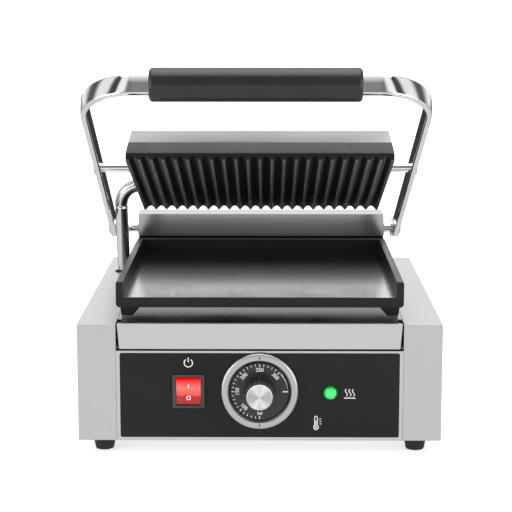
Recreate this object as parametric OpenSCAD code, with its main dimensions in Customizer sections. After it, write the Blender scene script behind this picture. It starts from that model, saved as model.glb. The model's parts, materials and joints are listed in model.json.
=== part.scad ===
// Single contact grill (panini press), shown with its lid raised.
// X runs left to right, +Y to the rear, +Z up. The origin is the centre of the whole
// object's footprint, on the surface that the feet stand on.

/* [Body] */
// Width of the body over the side panels
body_w = 290; // [280:1:310]
// Depth of the body, front face to back face
body_d = 305; // [303:1:320]
// Height of the body, without the feet
body_h = 95; // [93:1:110]
// Height of the rubber feet
foot_h = 12; // [9:1:20]
// Width of each side panel
side_w = 30.9; // [30.4:0.1:31.4]
// Thickness of the sheet steel
sheet = 1.2; // [1:0.1:1.5]

/* [Lower plate] */
// Width of the flat lower plate
lower_w = 230; // [228:1:231]
// Depth of the flat lower plate
lower_d = 213; // [210:1:216]
// Thickness of the flat lower plate
lower_t = 8.2; // [7:0.2:9]
// Height of the splash walls above the cooking surface
wall_h = 12.6; // [6:0.2:14]

/* [Upper plate] */
// Width of the ribbed upper plate
upper_w = 214; // [208:1:216]
// Depth of the ribbed upper plate
upper_d = 198.4; // [190:0.2:202]
// Number of grooves in the ribbed plate
groove_count = 22; // [16:1:24]
// Depth of the grooves
groove_depth = 4; // [2:0.5:4.5]

/* [Lid] */
// Length of the handle arms, hinge shaft to grip centre
arm_length = 288; // [280:1:300]
// Distance from the hinge shaft to the pivot rod
pivot_reach = 130.3; // [127:0.1:132]
// Height of the handle arms' slope above level when raised
arm_angle = 31.5; // [30:0.1:33]
// Slope of the upper plate when raised
head_angle = 19.65; // [18:0.05:20.5]
// Width of the handle's flat bar
bar_w = 17; // [14:1:20]
// Thickness of the handle's flat bar
bar_t = 5.5; // [4:0.5:5.5]
// Diameter of the handle grip
grip_d = 26.5; // [24:0.5:30]
// Length of the handle grip
grip_length = 165; // [130:1:170]

/* [Controls] */
// Diameter of the ring round the temperature dial
bezel_d = 61.8; // [58:0.1:66]
// Diameter of the temperature dial
dial_d = 46.6; // [44:0.2:50]
// Distance of the power switch left of the dial
switch_offset = 56.6; // [50:0.2:70]
// Distance of the signal lamp right of the dial
lamp_offset = 56.3; // [45:0.1:80]

/* [Hidden] */

eps = 0.01;
steel = "silver";
iron = [0.12, 0.12, 0.13];

// Levels and places, measured from the front face (Y) and the table (Z)
top_z = foot_h + body_h;
inner_x = body_w / 2 - side_w;
back_t = body_d - sheet;

// Handle bar: outer faces at the corners, and how far each arm splays out from its hinge
bail_left = -143;
bail_right = 137;
left_splay = 0.45;
right_splay = 1.85;
bend_r = 45;
hinge_t = 250;
hinge_z = top_z + 38;
shaft_r = 4.5;
rod_r = 4;
run_gap = 0.05;
bend_at = arm_length + bar_t / 2 - bend_r;

// The pivot rod lies a little above the arms' centre line
pivot_lift = 2;
pivot_t = hinge_t - pivot_reach * cos(arm_angle) + pivot_lift * sin(arm_angle);
pivot_z = hinge_z + pivot_reach * sin(arm_angle) + pivot_lift * cos(arm_angle);

// The frame's origin is midway between the dial's front and the cable gland's back
dial_proud = 22;
gland_length = 17;
front_y = -(body_d + gland_length - dial_proud) / 2;

// Lower plate and the stand under it
stand_front = 20;
stand_t1 = 229;
shoulder_z = top_z + 3;
plate_front = 15;
plate_under = top_z + 10.6;
surface_z = plate_under + lower_t;
wall_t = 5.8;

// Upper head, measured from the pivot rod: crest of the ribs, flange, rim and cover
rod_set_back = 11.4;
crest_z = -19.8;
flange_z = -12.9;
rim_z = -4;
cast_back_z = -11.8;
cover_front_z = 6.3;
cover_rear_z = 18;
cast_draft = 11.7;
cover_draft = 12.7;
cover_hx = upper_w / 2 - (rim_z - flange_z) * tan(cast_draft);
cover_hy = upper_d / 2 - (rim_z - flange_z) * tan(cast_draft);
cover_front_y = -cover_hy + (cover_front_z - rim_z) * tan(cover_draft);
cover_rear_y = cover_hy - (cover_rear_z - rim_z) * tan(cover_draft);

// Drip tray
tray_half = 102.6;
tray_floor = 87.6;
tray_depth = 152;
tray_rim = top_z - 5.5;
tray_low = top_z - 20.1;
tray_high = top_z + 0.6;

// Hinge housing
box_front = 235.7;
box_depth = 29.3;
box_h = 53;

// Front panel
panel_top = 85.5;
dial_z = top_z - 53.8;
switch_z = dial_z - 0.4;
lamp_z = dial_z - 1.4;
switch_w = 25.6;
switch_h = 27.3;

// Conduit: a leaning straight run, then a bend across to the head
conduit_r = 5.75;
conduit_bore = 4.6;
conduit_bend = 19;
conduit_lean = 16;
conduit_x = -127.5;
conduit_foot = 229;
conduit_rise = 66;
conduit_top = [conduit_x, conduit_foot - conduit_rise * tan(conduit_lean), top_z + conduit_rise];

foot_x = 126;
foot_t = [20, 285];

// A box from its limits: across, back from the front face, and up from the table
module box(x, t, z) {
    translate([x[0], front_y + t[0], z[0]]) cube([x[1] - x[0], t[1] - t[0], z[1] - z[0]]);
}

// Round bars along each axis; t is measured back from the front face
module bar_x(x, t, z, r) {
    translate([x[0], front_y + t, z]) rotate([0, 90, 0]) cylinder(r = r, h = x[1] - x[0], $fn = 64);
}
module bar_y(x, t, z, r) {
    translate([x, front_y + t[1], z]) rotate([90, 0, 0]) cylinder(r = r, h = t[1] - t[0], $fn = 64);
}
module bar_z(x, t, z, r) {
    translate([x, front_y + t, z[0]]) cylinder(r = r, h = z[1] - z[0], $fn = 64);
}

// A pan-head screw with its head's underside at the origin, pointing down
module screw(head_r, head_h, shank_r, shank_l) {
    difference() {
        union() {
            cylinder(r = head_r, h = head_h * 0.55, $fn = 48);
            translate([0, 0, head_h * 0.55])
                cylinder(r1 = head_r, r2 = head_r * 0.72, h = head_h * 0.45, $fn = 48);
            translate([0, 0, -shank_l]) cylinder(r = shank_r, h = shank_l + eps, $fn = 32);
        }
        for (a = [0, 90])
            rotate([0, 0, a]) translate([-head_r * 0.55, -head_r * 0.11, head_h * 0.5])
                cube([head_r * 1.1, head_r * 0.22, head_h]);
    }
}

// Move into the upper head's own frame, centred on the head and level with the pivot rod
module on_head() {
    translate([0, front_y + pivot_t, pivot_z]) rotate([-head_angle, 0, 0])
        translate([0, -rod_set_back, 0]) children();
}

// Where the outer face of each handle arm is, at a distance from the hinge shaft
function left_at(reach) = bail_left + (bend_at - reach) * tan(left_splay);
function right_at(reach) = bail_right - (bend_at - reach) * tan(right_splay);

// A side panel: a folded steel box, open at the bottom
module side_shell() {
    hw = body_w / 2;
    difference() {
        box([inner_x, hw], [0, body_d], [foot_h, top_z]);
        box([inner_x + sheet, hw - sheet], [sheet, back_t], [foot_h - 1, top_z - sheet]);
        box([inner_x - 1, inner_x + sheet + eps], [sheet, back_t], [foot_h - 1, foot_h + sheet]);
    }
}

module left_side_panel() {
    color(steel) difference() {
        mirror([1, 0, 0]) side_shell();
        bar_z(conduit_x, conduit_foot, [top_z - 3, top_z + 3], 7.6);
        bar_x([-inner_x - 3, -inner_x + 3], 150, foot_h + 30, 6);
    }
}

module right_side_panel() {
    color(steel) side_shell();
}

module base_pan() {
    hw = body_w / 2 - sheet;
    color(steel) difference() {
        box([-hw, hw], [sheet, back_t], [foot_h, foot_h + sheet]);
        for (x = [-foot_x, foot_x], t = foot_t) bar_z(x, t, [foot_h - 1, foot_h + 3], 2.1);
        for (x = [-70 : 20 : 70], t = [110, 170])
            box([x - 3, x + 3], [t, t + 34], [foot_h - 1, foot_h + 3]);
    }
}

// Openings in the front panel and its black face, for the dial, the lamp and the switch
module panel_holes() {
    bar_y(0, [-1, 3], dial_z, 4);
    bar_y(lamp_offset, [-1, 3], lamp_z, 4.6);
    box([-switch_offset - 11.4, -switch_offset + 11.4], [-1, 3], [switch_z - 12.6, switch_z + 12.6]);
}

module front_panel() {
    color(steel) difference() {
        box([-inner_x, inner_x], [0, sheet], [foot_h, panel_top]);
        panel_holes();
    }
}

// Black enamelled face with rounded corners, stuck on the front panel
module control_fascia() {
    hw = 111.2;
    low = foot_h + 2.9;
    high = panel_top - 1.8;
    r = 1.5;
    color([0.08, 0.08, 0.08]) difference() {
        union() {
            box([-hw + r, hw - r], [-0.8, 0], [low, high]);
            box([-hw, hw], [-0.8, 0], [low + r, high - r]);
            for (x = [-hw + r, hw - r], z = [low + r, high - r]) bar_y(x, [-0.8, 0], z, r);
        }
        panel_holes();
    }
}

module rear_panel() {
    color(steel) difference() {
        box([-inner_x, inner_x], [back_t, body_d], [foot_h, top_z - sheet]);
        for (z = [40 : 9 : 85], x = [-30, 30])
            box([x - 22, x + 22], [back_t - 1, body_d + 1], [z, z + 3]);
        bar_y(85, [back_t - 1, body_d + 1], 38, 8);
        for (x = [-106, 106], z = [20, 96]) bar_y(x, [back_t - 1, body_d + 1], z, 2.1);
    }
}

// Top sheet between the side panels, open at the front over the drip tray
module deck() {
    color(steel) difference() {
        box([-inner_x, inner_x], [stand_front + sheet, body_d], [top_z - sheet, top_z]);
        for (x = [-90, 90]) bar_z(x, 249.2, [top_z - 3, top_z + 3], 2.1);
        bar_z(70, 246, [top_z - 3, top_z + 3], 5);
    }
}

// Folded sheet under the lower plate: low shoulders at the sides, a raised middle with sloping
// ends, a front wall that reaches down behind the drip tray's front, and a window for the heaters
module plate_stand() {
    hw = 111;
    foot_w = 101.5;
    top_w = 96;
    low = [[-hw, top_z], [-hw, shoulder_z], [-foot_w, shoulder_z], [-top_w, plate_under],
           [top_w, plate_under], [foot_w, shoulder_z], [hw, shoulder_z], [hw, top_z]];
    under = [[-hw + sheet, top_z - 1], [-hw + sheet, shoulder_z - sheet],
             [-foot_w + 0.7, shoulder_z - sheet], [-top_w + 0.7, plate_under - sheet],
             [top_w - 0.7, plate_under - sheet], [foot_w - 0.7, shoulder_z - sheet],
             [hw - sheet, shoulder_z - sheet], [hw - sheet, top_z - 1]];
    color(steel) {
        difference() {
            translate([0, front_y + stand_t1, 0]) rotate([90, 0, 0])
                linear_extrude(stand_t1 - stand_front) polygon(low);
            translate([0, front_y + stand_t1 - sheet, 0]) rotate([90, 0, 0])
                linear_extrude(stand_t1 - stand_front - 2 * sheet) polygon(under);
            box([-90, 90], [38, 213], [shoulder_z, plate_under + 1]);
        }
        box([-hw, hw], [stand_front, stand_front + sheet], [top_z - 4.8, top_z + eps]);
    }
}

// Folded sheet box that the drip tray slides in
module tray_housing() {
    z = [tray_floor - 0.3 - sheet, tray_rim + 0.3];
    color(steel) difference() {
        box([-inner_x, inner_x], [6, 155.4], z);
        box([-103.3, 103.3], [5, 154.2], [z[0] + sheet, z[1] + 1]);
        for (s = [-1, 1])
            box([min(s * 104.5, s * 120), max(s * 104.5, s * 120)], [5, 160], [z[0] + sheet, z[1] + 1]);
    }
}

// Grease drawer: an open basin behind a folded front
module drip_tray() {
    front = [[-113.2, tray_high], [113.2, tray_high], [111.5, tray_low], [-111.5, tray_low]];
    color(steel) {
        difference() {
            box([-tray_half, tray_half], [sheet - eps, tray_depth], [tray_floor, tray_rim]);
            box([-tray_half + sheet, tray_half - sheet], [2 * sheet, tray_depth - sheet],
                [tray_floor + sheet, tray_rim + 5]);
        }
        translate([0, front_y + sheet, 0]) rotate([90, 0, 0]) linear_extrude(sheet) polygon(front);
        box([-112, 112], [sheet - eps, 4.5], [tray_high - sheet, tray_high]);
    }
}

module rubber_feet() {
    r_top = 9;
    r_low = 7.6;
    color([0.06, 0.06, 0.06]) for (x = [-foot_x, foot_x], t = foot_t)
        translate([x, front_y + t, 0]) difference() {
            rotate_extrude($fn = 64) polygon([[0, 0], [r_low - 1.4, 0], [r_low - 0.4, 0.4], [r_low, 1.4],
                                             [r_top, foot_h - 3], [r_top, foot_h], [0, foot_h]]);
            translate([0, 0, -1]) cylinder(r = 4.4, h = 5, $fn = 48);
            cylinder(r = 2.1, h = foot_h + 1, $fn = 48);
        }
}

module foot_screws() {
    color("gray") for (x = [-foot_x, foot_x], t = foot_t)
        translate([x, front_y + t, 4]) mirror([0, 0, 1]) screw(3.9, 2.2, 2, foot_h + 1);
}

// Flat cast plate with a wall on three sides and two rails that stand on the shoulders below
module lower_plate() {
    hw = lower_w / 2;
    t0 = plate_front;
    t1 = plate_front + lower_d;
    wall_top = surface_z + wall_h;
    r = 3;
    arc = [for (a = [0 : 15 : 90]) [hw - r + r * sin(a), plate_under + r - r * cos(a)]];
    outline = concat([[0, plate_under]], arc, [[hw, wall_top - 1.5], [hw - 1.5, wall_top],
                     [0, wall_top]]);
    rail = [[-hw + 2.5, plate_under + eps], [-hw + 3.8, shoulder_z], [-102, shoulder_z],
            [-96.6, plate_under + eps]];
    color(iron) {
        difference() {
            translate([0, front_y + t1, 0]) rotate([90, 0, 0]) linear_extrude(lower_d) union() {
                polygon(outline);
                mirror([1, 0]) polygon(outline);
            }
            box([-hw + wall_t, hw - wall_t], [t0 - 1, t1 - wall_t], [surface_z, wall_top + 1]);
        }
        for (s = [0, 1]) mirror([s, 0, 0]) translate([0, front_y + 216, 0]) rotate([90, 0, 0])
            linear_extrude(194) polygon(rail);
    }
}

// A hairpin heating rod: two bars across, joined by a half-turn at the right
module hairpin(half, pitch, r) {
    for (s = [-1, 1]) translate([-half, s * pitch / 2, 0]) rotate([0, 90, 0])
        cylinder(r = r, h = 2 * half, $fn = 32);
    translate([half, 0, 0]) rotate([0, 0, -90]) rotate_extrude(angle = 180, $fn = 64)
        translate([pitch / 2, 0]) circle(r = r, $fn = 32);
}

module lower_heater() {
    color("dimgray") for (t = [84, 168])
        translate([-8, front_y + t, plate_under - 3.3]) hairpin(56, 38, 3.2);
}

module lower_insulation() {
    color("beige") box([-84, 84], [44, 206], [top_z + 2.2, top_z + 4]);
}

// Shallow pan that holds the heater and its insulation up against the lower plate
module lower_heater_pan() {
    color("darkgray") difference() {
        box([-87, 87], [41, 209], [top_z + 1, plate_under]);
        box([-86, 86], [42, 208], [top_z + 2, plate_under + 1]);
    }
}

module thermostat_bulb() {
    color("peru") bar_x([-40, 40], 126, plate_under - 3.2, 3);
}

// Steel cover over the hinge shaft and its springs, open underneath
module hinge_housing() {
    t1 = box_front + box_depth;
    color(steel) difference() {
        box([-inner_x, inner_x], [box_front, t1], [top_z, top_z + box_h]);
        box([-inner_x + sheet, inner_x - sheet], [box_front + sheet, t1 - sheet],
            [top_z - 1, top_z + box_h - sheet]);
        bar_x([-inner_x - 2, inner_x + 2], hinge_t, hinge_z, 7);
        for (x = [-90, 90]) bar_y(x, [t1 - 3, t1 + 3], top_z + 14, 2.1);
    }
}

module hinge_brackets() {
    t = [238, box_front + box_depth - sheet];
    color("lightgray") for (s = [-1, 1]) difference() {
        union() {
            box([s * 96 - 2.5, s * 96 + 2.5], t, [top_z, top_z + 48]);
            box([s * 90 - 8, s * 90 + 8], t, [top_z, top_z + 3]);
            box([s * 90 - 8, s * 90 + 8], [t[1] - 3, t[1]], [top_z, top_z + 22]);
        }
        bar_x([s * 96 - 4, s * 96 + 4], hinge_t, hinge_z, 7);
        bar_z(s * 90, 249.2, [top_z - 1, top_z + 5], 2.1);
        bar_y(s * 90, [t[1] - 4, t[1] + 1], top_z + 14, 1.95);
    }
}

// Flanged bronze bushes that the hinge shaft turns in
module shaft_bushes() {
    color("goldenrod") for (s = [0, 1]) mirror([s, 0, 0]) difference() {
        union() {
            bar_x([93, inner_x], hinge_t, hinge_z, 6.9);
            bar_x([inner_x, inner_x + 1.2], hinge_t, hinge_z, 7.8);
        }
        bar_x([92, inner_x + 3], hinge_t, hinge_z, shaft_r + run_gap);
    }
}

// Close-wound torsion springs round the shaft, each a ridged sleeve with one ridge per turn
module counterbalance_springs() {
    turns = 14;
    wire = 1.6;
    mean = 8;
    ridge = [for (i = [0 : turns - 1], a = [15 : 30 : 165])
             [mean + wire * sin(a), wire * (2 * i + 1 - cos(a))]];
    color("slategray") for (s = [0, 1]) mirror([s, 0, 0])
        translate([32, front_y + hinge_t, hinge_z]) rotate([0, 90, 0]) rotate_extrude($fn = 64)
            polygon(concat([[mean - wire, 0]], ridge, [[mean - wire, 2 * wire * turns]]));
}

module housing_screws() {
    t1 = box_front + box_depth;
    color("gray") for (x = [-90, 90])
        translate([x, front_y + t1, top_z + 14]) rotate([-90, 0, 0]) screw(4, 2.2, 1.85, 4);
}

module hinge_shaft() {
    color("lightgray") bar_x([left_at(0), right_at(0)], hinge_t, hinge_z, shaft_r);
}

// Points of an arc about a centre, from one angle to another
function arc(c, r, from, to) =
    [for (i = [0 : 30]) let (a = from + (to - from) * i / 30) c + r * [cos(a), sin(a)]];

// Outline of the handle's loop in its own plane, set in by a distance, with arms that end at -Y
function bail_outline(inset, foot) =
    let (r = bend_r - inset,
         left = arc([bail_left + bend_r, bend_at], r, 180 + left_splay, 90),
         right = arc([bail_right - bend_r, bend_at], r, 90, -right_splay))
    concat(left, right,
           [right[30] - foot * [sin(right_splay), cos(right_splay)],
            left[0] - foot * [-sin(left_splay), cos(left_splay)]]);

// Flat bar bent into a loop, with its ends rounded about the hinge shaft
module handle_bail() {
    half = bar_w / 2;
    far = arm_length + 2 * bar_t;
    side = concat([for (a = [0 : 10 : 180]) [-half * sin(a), half * cos(a)]],
                  [[far, -half], [far, half]]);
    color("whitesmoke") difference() {
        translate([0, front_y + hinge_t, hinge_z]) rotate([180 - arm_angle, 0, 0]) intersection() {
            linear_extrude(bar_w + 6, center = true) difference() {
                polygon(bail_outline(0, bend_at + bar_w));
                polygon(bail_outline(bar_t, bend_at + 2 * bar_w));
            }
            rotate([90, 0, 90]) linear_extrude(400, center = true) polygon(side);
        }
        bar_x([bail_left - 5, bail_right + 5], hinge_t, hinge_z, shaft_r + 0.02);
        bar_x([bail_left - 5, bail_right + 5], pivot_t, pivot_z, rod_r + 0.02);
    }
}

module handle_grip() {
    mid = (bail_left + bail_right) / 2;
    r = grip_d / 2;
    half = grip_length / 2;
    round = 3;
    end = [for (a = [0 : 15 : 90]) [r - round + round * cos(a), half - round + round * sin(a)]];
    color([0.1, 0.1, 0.11])
        translate([mid, front_y + hinge_t, hinge_z]) rotate([180 - arm_angle, 0, 0])
        translate([0, arm_length, 0]) difference() {
            rotate([0, 90, 0]) rotate_extrude($fn = 96)
                polygon(concat([[0, -half], [r - round, -half]],
                               [for (i = [len(end) - 1 : -1 : 0]) [end[i][0], -end[i][1]]],
                               end, [[0, half]]));
            cube([grip_length + 2, bar_t + 0.1, bar_w + 0.1], center = true);
        }
}

module pivot_rod() {
    color("whitesmoke") bar_x([left_at(pivot_reach), right_at(pivot_reach)], pivot_t, pivot_z, rod_r);
}

// Flat round screw heads that close the ends of the shaft and the rod
module bail_screws() {
    dome = [[0, 0], [6, 0], [6, 0.7], [5, 1.5], [3, 1.9], [0, 2]];
    gap = 0.25;
    color("lightgray") for (p = [[hinge_t, hinge_z, 0], [pivot_t, pivot_z, pivot_reach]]) {
        translate([left_at(p[2]) - gap, front_y + p[0], p[1]]) rotate([0, -90, 0])
            rotate_extrude($fn = 64) polygon(dome);
        translate([right_at(p[2]) + gap, front_y + p[0], p[1]]) rotate([0, 90, 0])
            rotate_extrude($fn = 64) polygon(dome);
    }
}

module shaft_washers() {
    color("gray") for (x = [left_at(0) + bar_t + 0.2, right_at(0) - bar_t - 2.2]) difference() {
        bar_x([x, x + 2], hinge_t, hinge_z, 8);
        bar_x([x - 1, x + 3], hinge_t, hinge_z, shaft_r + 0.02);
    }
}

// A block with sloping sides, between two heights: half sizes at the foot, slope of the sides
module tapered_block(half_x, half_y, z0, z1, draft) {
    dx = (z1 - z0) * tan(draft);
    intersection() {
        rotate([90, 0, 0]) linear_extrude(4 * half_y, center = true)
            polygon([[-half_x, z0], [half_x, z0], [half_x - dx, z1], [-half_x + dx, z1]]);
        rotate([90, 0, 90]) linear_extrude(4 * half_x, center = true)
            polygon([[-half_y, z0], [half_y, z0], [half_y - dx, z1], [-half_y + dx, z1]]);
    }
}

// Ribbed cast plate: toothed section run front to back, with a drafted rim on its back
module upper_plate() {
    hw = upper_w / 2;
    hd = upper_d / 2;
    edge = 1.3;
    pitch = (upper_w - 2 * edge) / groove_count;
    land = 0.85;
    arch = [for (i = [0 : 8]) let (u = -1 + i / 4) [u, groove_depth * cos(80 * u)]];
    teeth = [for (k = [0 : groove_count - 1], p = arch)
             [-hw + edge + pitch * (k + 0.5) + p[0] * (pitch / 2 - land), crest_z + p[1]]];
    section = concat([[-hw, flange_z], [-hw, crest_z]], teeth, [[hw, crest_z], [hw, flange_z]]);
    color(iron) on_head() difference() {
        union() {
            rotate([90, 0, 0]) linear_extrude(upper_d, center = true) polygon(section);
            tapered_block(hw, hd, flange_z - eps, rim_z, cast_draft);
        }
        translate([-hw + 8, -hd + 8, cast_back_z]) cube([upper_w - 16, upper_d - 16, 20]);
        translate([-hw - 1, entry_y, entry_z]) rotate([0, 90, 0]) cylinder(r = 7, h = 20, $fn = 64);
    }
}

// Outer form of the sheet cover, shrunk by an inset
module cover_form(inset) {
    half_x = cover_hx - inset;
    half_y = cover_hy - inset;
    z0 = inset > 0 ? rim_z - 1 : rim_z;
    peak = cover_rear_z + 2;
    dx = (peak - rim_z) * tan(cover_draft);
    intersection() {
        rotate([90, 0, 0]) linear_extrude(4 * half_y, center = true)
            polygon([[-half_x, z0], [half_x, z0], [half_x - dx, peak], [-half_x + dx, peak]]);
        rotate([90, 0, 90]) linear_extrude(4 * half_x, center = true)
            polygon([[-half_y, z0], [half_y, z0], [cover_rear_y - inset, cover_rear_z - inset],
                     [cover_front_y + inset, cover_front_z - inset]]);
    }
}

// The conduit's axis where it enters the head, in the head's own frame
conduit_end = [conduit_x + conduit_bend,
               conduit_top[1] - conduit_bend * sin(conduit_lean) - pivot_t,
               conduit_top[2] + conduit_bend * cos(conduit_lean) - pivot_z];
entry_y = conduit_end[1] * cos(head_angle) - conduit_end[2] * sin(head_angle) + rod_set_back;
entry_z = conduit_end[1] * sin(head_angle) + conduit_end[2] * cos(head_angle);
cover_screw_at = [[-62, -62], [62, -62], [-62, 62], [62, 62]];

// Height and slope of the cover's top
function cover_top(y) = cover_front_z
    + (cover_rear_z - cover_front_z) * (y - cover_front_y) / (cover_rear_y - cover_front_y);
cover_slope = atan((cover_rear_z - cover_front_z) / (cover_rear_y - cover_front_y));

module upper_cover() {
    color(steel) on_head() difference() {
        cover_form(0);
        cover_form(sheet);
        translate([0, rod_set_back, 0]) rotate([0, 90, 0])
            cylinder(r = rod_r + 0.5, h = upper_w + 10, center = true, $fn = 64);
        translate([-upper_w / 2 - 1, entry_y, entry_z]) rotate([0, 90, 0])
            cylinder(r = 7, h = 20, $fn = 64);
        for (p = cover_screw_at) translate([p[0], p[1], 0]) cylinder(r = 2.1, h = 40, $fn = 32);
    }
}

module upper_heater() {
    color("dimgray") on_head() for (y = [-47, 47])
        translate([-8, y, cast_back_z + 3.3]) hairpin(56, 36, 3.2);
}

module upper_insulation() {
    color("beige") on_head() for (y = [[-78, 0], [24, 78]])
        translate([-72, y[0], cast_back_z + 6.7]) cube([144, y[1] - y[0], 3]);
}

// Blocks on the back of the ribbed plate that turn on the pivot rod
module pivot_brackets() {
    color("lightgray") on_head() for (s = [-1, 1]) difference() {
        translate([s * 86 - 6, rod_set_back - 9, cast_back_z]) cube([12, 18, 19]);
        translate([s * 86, rod_set_back, 0]) rotate([0, 90, 0])
            cylinder(r = rod_r + run_gap, h = 14, center = true, $fn = 64);
    }
}

module cover_screws() {
    color("gray") on_head() for (p = cover_screw_at)
        translate([p[0], p[1], cover_top(p[1])]) rotate([cover_slope, 0, 0])
            translate([0, 0, 0.15]) screw(4, 2.4, 1.8, 5);
}

// Hexagon nut and neck that hold the conduit in the cover's left wall
module conduit_gland() {
    color("lightgray") on_head() translate([0, entry_y, entry_z]) difference() {
        union() {
            translate([-111.4, 0, 0]) rotate([0, 90, 0]) rotate([0, 0, 30])
                cylinder(r = 7.9, h = 4.2, $fn = 6);
            translate([-108, 0, 0]) rotate([0, 90, 0]) cylinder(r = 6.85, h = 8, $fn = 64);
        }
        translate([-115, 0, 0]) rotate([0, 90, 0]) cylinder(r = conduit_r + 0.4, h = 20, $fn = 64);
    }
}

module conduit_lower() {
    run = (conduit_rise + 4) / cos(conduit_lean);
    color("whitesmoke") translate([conduit_top[0], front_y + conduit_top[1], conduit_top[2]])
        rotate([conduit_lean, 0, 0]) translate([0, 0, -run]) difference() {
            cylinder(r = conduit_r, h = run, $fn = 64);
            translate([0, 0, -1]) cylinder(r = conduit_bore, h = run + 2, $fn = 64);
        }
}

module conduit_upper() {
    tail = 8;
    color("whitesmoke") translate([conduit_top[0], front_y + conduit_top[1], conduit_top[2]])
        rotate([conduit_lean, 0, 0]) translate([conduit_bend, 0, 0]) {
            rotate([90, 0, 0]) rotate([0, 0, 90]) rotate_extrude(angle = 90, $fn = 96)
                translate([conduit_bend, 0]) difference() {
                    circle(r = conduit_r, $fn = 64);
                    circle(r = conduit_bore, $fn = 64);
                }
            translate([0, 0, conduit_bend]) rotate([0, 90, 0]) difference() {
                cylinder(r = conduit_r, h = tail, $fn = 64);
                translate([0, 0, -1]) cylinder(r = conduit_bore, h = tail + 2, $fn = 64);
            }
        }
}

// Rubber ring in the left panel's top, where the conduit comes up
module conduit_grommet() {
    color([0.07, 0.07, 0.07]) difference() {
        union() {
            bar_z(conduit_x, conduit_foot, [top_z, top_z + 0.7], 8.4);
            bar_z(conduit_x, conduit_foot, [top_z - 1.6, top_z + eps], 7.5);
        }
        bar_z(conduit_x, conduit_foot, [top_z - 4, top_z + 4], 6.9);
    }
}

// Fixed ring round the dial, with a rounded outer edge
module dial_bezel() {
    r = bezel_d / 2;
    bore = dial_d / 2 + 0.6;
    color("silver") translate([0, front_y - 0.8, dial_z]) rotate([90, 0, 0]) rotate_extrude($fn = 128)
        polygon([[bore, 0], [r, 0], [r, 1.8], [r - 0.7, 3.1], [r - 1.9, 3.7],
                 [bore + 1.6, 3.7], [bore, 2.4]]);
}

// Dial disc and its fluted grip
module temperature_dial() {
    flutes = 18;
    grip_r = 12.4;
    grip_z = 4.2;
    color([0.09, 0.09, 0.09]) translate([0, front_y - 1, dial_z]) rotate([90, 0, 0]) difference() {
        union() {
            cylinder(r = dial_d / 2, h = 2.3, $fn = 128);
            translate([0, 0, 2.3 - eps]) cylinder(r = 14, h = grip_z - 2.3 + eps, $fn = 96);
            translate([0, 0, grip_z - eps]) linear_extrude(dial_proud - 2.4 - grip_z) difference() {
                circle(r = grip_r, $fn = 96);
                for (i = [0 : flutes - 1]) rotate(i * 360 / flutes)
                    translate([grip_r + 0.5, 0]) circle(r = 1.3, $fn = 24);
            }
        }
        translate([0, 0, -1]) cylinder(r = 3.02, h = 12, $fn = 48);
    }
}

module dial_cap() {
    color("silver") translate([0, front_y - dial_proud + 1.4, dial_z]) rotate([90, 0, 0])
        rotate_extrude($fn = 96) polygon([[0, 0], [10.4, 0], [10.4, 0.8], [9.8, 1.4], [0, 1.4]]);
}

module thermostat() {
    color("tan") difference() {
        union() {
            box([-19, 19], [12, 40], [dial_z - 17, dial_z + 17]);
            box([-24, 24], [sheet, 12], [dial_z - 8, dial_z + 8]);
        }
        bar_y(0, [0, 24], dial_z, 3.05);
    }
}

module thermostat_spindle() {
    color("lightgray") bar_y(0, [-11, 22], dial_z, 3);
}

module switch_housing() {
    x = -switch_offset;
    color([0.1, 0.1, 0.1]) difference() {
        union() {
            box([x - switch_w / 2, x + switch_w / 2], [-2.4, -0.8],
                [switch_z - switch_h / 2, switch_z + switch_h / 2]);
            box([x - 11.2, x + 11.2], [-0.8 - eps, 24], [switch_z - 12.4, switch_z + 12.4]);
        }
        box([x - 10, x + 10], [-3, 15], [switch_z - 11.5, switch_z + 11.5]);
    }
}

// Rocker: two faces that meet in a shallow valley, rounded about its pivot, lower half pressed in
module switch_rocker() {
    r = 11.15;
    tip = 4.6;
    press = 8;
    color([0.8, 0.05, 0.05]) translate([-switch_offset, front_y + 2, switch_z])
        rotate([press, 0, 0]) intersection() {
            rotate([0, 90, 0]) cylinder(r = r, h = 19.5, center = true, $fn = 96);
            rotate([90, 0, 90]) linear_extrude(19.5, center = true)
                polygon([[-tip, r + 1], [-tip, r - 1], [-tip + 1.9, 0], [-tip, -r + 1], [-tip, -r - 1],
                         [6, -r - 1], [6, r + 1]]);
        }
}

module lamp_bezel() {
    color([0.1, 0.2, 0.12]) translate([lamp_offset, front_y - 0.8, lamp_z]) rotate([90, 0, 0])
        difference() {
            union() {
                cylinder(r1 = 6.4, r2 = 5.9, h = 1.6, $fn = 64);
                translate([0, 0, -12]) cylinder(r = 4.4, h = 12 + eps, $fn = 64);
            }
            translate([0, 0, 0.4]) cylinder(r = 4.95, h = 4, $fn = 64);
            translate([0, 0, -4]) cylinder(r = 3.2, h = 5, $fn = 64);
        }
}

module signal_lamp() {
    dome = [for (a = [0 : 15 : 90]) [4.87 * cos(a), 1.7 + 1.4 * sin(a)]];
    color([0.1, 0.8, 0.25]) translate([lamp_offset, front_y - 0.8, lamp_z]) rotate([90, 0, 0])
        rotate_extrude($fn = 64)
            polygon(concat([[0, -3], [3.12, -3], [3.12, 0.5], [4.87, 0.5]], dome));
}

module terminal_block() {
    color("ivory") difference() {
        box([-100, -40], [240, 262], [foot_h + sheet, foot_h + sheet + 18]);
        for (x = [-94 : 8 : -46]) bar_y(x, [239, 263], foot_h + 12, 2.2);
    }
}

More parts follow.
